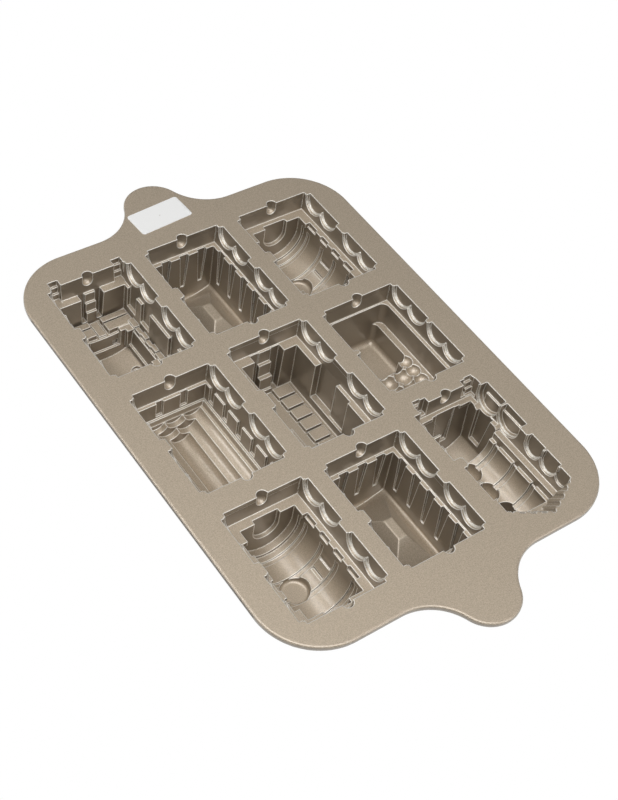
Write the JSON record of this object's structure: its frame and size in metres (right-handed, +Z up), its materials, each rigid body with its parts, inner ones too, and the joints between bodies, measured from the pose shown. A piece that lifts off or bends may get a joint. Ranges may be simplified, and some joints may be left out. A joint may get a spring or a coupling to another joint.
{
  "type": "train cake pan",
  "caption": "Cast cake pan with a rounded tray, a lobe handle at each end and cups shaped as the cars of a toy train, upside down, with the locomotive, tender and caboose among them.",
  "frame": {"origin": "on the table under the middle of the tray, at the level of the cups' feet", "axes": "+X across the tray's short side, +Y along its long side to the handle beside the caboose, +Z up out of the cups' mouths"},
  "size_m": [0.2568, 0.4212, 0.0611],
  "materials": {
    "coated_aluminium": "champagne grey non-stick coat with fine metallic speckle over cast aluminium",
    "paper": "white paper label"
  },
  "bodies": {
    "root": {"deck_plate": "coated_aluminium", "caboose_cup": "coated_aluminium", "hopper_car_cup_far": "coated_aluminium", "tank_car_cup_far": "coated_aluminium", "log_car_cup": "coated_aluminium", "boxcar_cup": "coated_aluminium", "tender_cup": "coated_aluminium", "tank_car_cup_near": "coated_aluminium", "hopper_car_cup_near": "coated_aluminium", "locomotive_cup": "coated_aluminium", "blank_label": "paper"}
  },
  "joints": []
}
